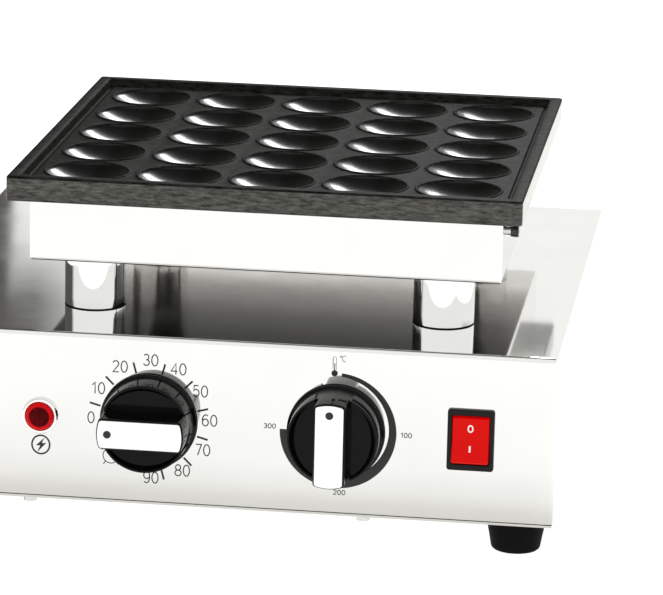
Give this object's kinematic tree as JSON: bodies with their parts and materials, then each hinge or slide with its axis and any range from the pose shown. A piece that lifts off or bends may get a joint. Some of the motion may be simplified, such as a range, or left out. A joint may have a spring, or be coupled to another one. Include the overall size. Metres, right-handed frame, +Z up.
{
  "type": "mini-pancake grill",
  "caption": "Countertop electric mini-pancake grill: a square cast plate of shallow round dishes on a heated box, carried by round posts over a stainless base with dial controls.",
  "frame": {"origin": "on the surface it stands on, under the centre of the control base", "axes": "+X to the right of someone facing the controls, +Y to the back, +Z up"},
  "size_m": [0.3706, 0.416, 0.1911],
  "materials": {
    "rubber": "moulded, matte",
    "chrome_post": "bright, fine brushed",
    "stainless": "brushed",
    "polished_stainless": "polished",
    "cast_iron": "seasoned, fine grained",
    "black_knob": "gloss",
    "silver_insert": "satin",
    "black_plastic": "satin",
    "red_rocker": "gloss, translucent red",
    "chrome_bezel": "bright",
    "red_lens": "clear red",
    "pale_plastic": "moulded",
    "dark_screw": "black oxide",
    "fibre_board": "fibrous",
    "aluminium_sheet": "mill",
    "element_sheath": "oxidised",
    "copper": "bright copper",
    "glass_sleeve": "braided sleeve",
    "control_case": "moulded",
    "brass": "bright",
    "zinc": "zinc plated"
  },
  "bodies": {
    "frame": {"base_shell": "stainless", "base_cover": "stainless", "cover_screws": "zinc", "foot_front_left": "rubber", "foot_front_right": "rubber", "foot_rear_left": "rubber", "foot_rear_right": "rubber", "foot_screws": "zinc", "post_front_left": "chrome_post", "post_front_right": "chrome_post", "post_rear_left": "chrome_post", "post_rear_right": "chrome_post", "post_gaskets": "rubber", "tie_rods": "zinc", "tie_nuts": "zinc", "tie_washers": "zinc", "heater_box": "polished_stainless", "heater_box_screw": "dark_screw", "heater_box_spacer": "zinc", "insulation_board": "fibre_board", "heat_reflector": "aluminium_sheet", "heating_element_front": "element_sheath", "heating_element_rear": "element_sheath", "element_clamps": "zinc", "clamp_bolts": "zinc", "thermostat_bulb": "copper", "thermostat_capillary": "copper", "element_leads": "glass_sleeve", "baking_plate": "cast_iron", "plate_studs": "zinc", "stud_nuts": "zinc", "timer_body": "control_case", "timer_screws": "zinc", "thermostat_body": "control_case", "thermostat_screws": "zinc", "switch_housing": "black_plastic", "switch_terminals": "brass", "pilot_lamp_bezel": "chrome_bezel", "pilot_lamp_lens": "red_lens", "pilot_lamp_body": "pale_plastic", "pilot_lamp_nut": "black_plastic", "terminal_block": "pale_plastic", "terminal_screws": "brass", "cable_gland": "black_plastic", "gland_nut": "black_plastic", "gland_locknut": "black_plastic", "earth_stud": "zinc", "earth_nuts": "zinc"},
    "timer_knob": {"timer_shaft": "zinc", "timer_knob": "black_knob", "timer_knob_insert": "silver_insert"},
    "thermostat_knob": {"thermostat_shaft": "zinc", "thermostat_knob": "black_knob", "thermostat_knob_insert": "silver_insert"},
    "switch_rocker": {"switch_rocker": "red_rocker"}
  },
  "joints": [
    {"name": "timer_turn", "type": "hinge", "parent": "frame", "child": "timer_knob", "pos_m": [-0.035, -0.178, 0.0669], "axis": [0, 1, 0], "range_deg": [0, 270]},
    {"name": "thermostat_turn", "type": "hinge", "parent": "frame", "child": "thermostat_knob", "pos_m": [0.0671, -0.178, 0.0669], "axis": [0, 1, 0], "range_deg": [0, 270]},
    {"name": "switch_rock", "type": "hinge", "parent": "frame", "child": "switch_rocker", "pos_m": [0.14, -0.1785, 0.0669], "axis": [1, 0, 0], "range_deg": [0, 20]}
  ]
}
